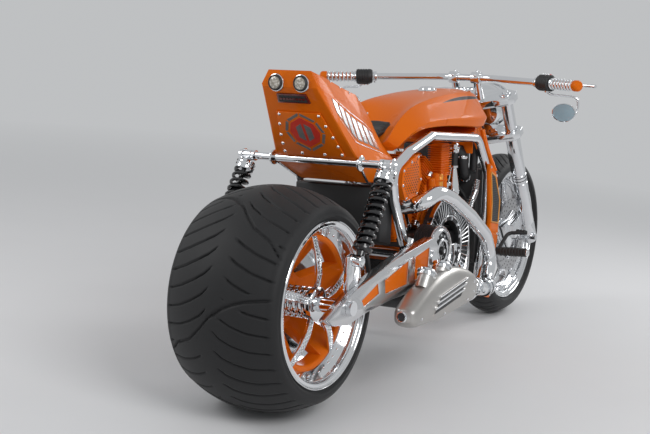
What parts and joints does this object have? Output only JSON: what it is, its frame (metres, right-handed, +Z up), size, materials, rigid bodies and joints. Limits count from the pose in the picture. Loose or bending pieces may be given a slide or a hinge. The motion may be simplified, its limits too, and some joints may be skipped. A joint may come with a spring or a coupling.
{
  "type": "chopper motorcycle",
  "caption": "Custom chopper motorcycle with a very wide rear tyre, raised faceted tail, long tank and raked chrome fork, leaning on its side stand.",
  "frame": {"origin": "on the floor under the centre of the whole machine's bounding box, as it leans on its side stand", "axes": "+X forward, towards the front wheel; +Y to the rider's left, the side stand's side; +Z up"},
  "size_m": [2.38, 1.1086, 1.0217],
  "materials": {
    "orange_paint": "high gloss clear coat",
    "chrome": "mirror plated",
    "polished_alloy": "polished",
    "satin_alloy": "satin, brushed",
    "black_engine": "satin black coat",
    "black_coils": "gloss black",
    "tyre_rubber": "matt",
    "belt_rubber": "matt",
    "black_plastic": "matt",
    "seat_leather": "satin",
    "lamp_lens": "clear",
    "brake_steel": "ground"
  },
  "bodies": {
    "frame": {"frame_rail_right": "chrome", "frame_rail_left": "chrome", "steering_head": "orange_paint", "swingarm_pivot": "chrome", "fuel_tank": "orange_paint", "seat_pad": "seat_leather", "tail_cowl": "orange_paint", "tail_plate": "orange_paint", "tail_lamps": "lamp_lens", "shock_bar": "chrome", "rear_shocks": "black_coils", "shock_carriers": "chrome", "swingarm_right": "polished_alloy", "swingarm_left": "polished_alloy", "swingarm_cross": "polished_alloy", "swingarm_inlays": "orange_paint", "rear_axle": "chrome", "rear_caliper": "chrome", "drive_belt": "belt_rubber", "front_pulley": "chrome", "belt_cover": "chrome", "crankcase": "black_engine", "cylinder_rear": "black_engine", "cylinder_front": "black_engine", "cylinder_cover": "orange_paint", "clutch_cover": "chrome", "exhaust_header": "chrome", "muffler": "satin_alloy", "radiator": "black_plastic", "radiator_shroud": "orange_paint", "battery_box": "black_plastic", "stand_hanger": "black_engine", "foot_controls": "chrome"},
    "rear_wheel": {"rear_tyre": "tyre_rubber", "rear_rim": "chrome", "rear_wheel_centre": "orange_paint", "rear_hub": "chrome", "rear_pulley": "chrome", "rear_disc": "brake_steel", "rear_spoke_straps": "chrome"},
    "fork": {"lower_clamp": "chrome", "upper_clamp": "chrome", "fork_leg_right": "chrome", "fork_leg_left": "chrome", "front_axle": "chrome", "front_calipers": "chrome", "handlebar": "chrome", "grips": "chrome", "switch_housings": "black_plastic", "levers": "chrome", "mirrors": "chrome", "headlight": "chrome"},
    "front_wheel": {"front_tyre": "tyre_rubber", "front_rim": "chrome", "front_wheel_centre": "orange_paint", "front_hub": "chrome", "front_discs": "brake_steel"},
    "side_stand": {"side_stand": "chrome"}
  },
  "joints": [
    {"name": "steering", "type": "hinge", "parent": "frame", "child": "fork", "pos_m": [0.57427, -0.01409, 0.80154], "axis": [-0.4848, 0.0914, 0.8698], "range_deg": [-30, 30]},
    {"name": "front_wheel_spin", "type": "hinge", "parent": "fork", "child": "front_wheel", "pos_m": [0.865, -0.06418, 0.32504], "axis": [0, 0.9945, -0.1045], "continuous": true},
    {"name": "rear_wheel_spin", "type": "hinge", "parent": "frame", "child": "rear_wheel", "pos_m": [-0.855, -0.06313, 0.33499], "axis": [0, 0.9945, -0.1045], "continuous": true},
    {"name": "side_stand_fold", "type": "hinge", "parent": "frame", "child": "side_stand", "pos_m": [0.05, 0.1337, 0.16046], "axis": [0, 0.9945, -0.1045], "range_deg": [0, 75]}
  ]
}
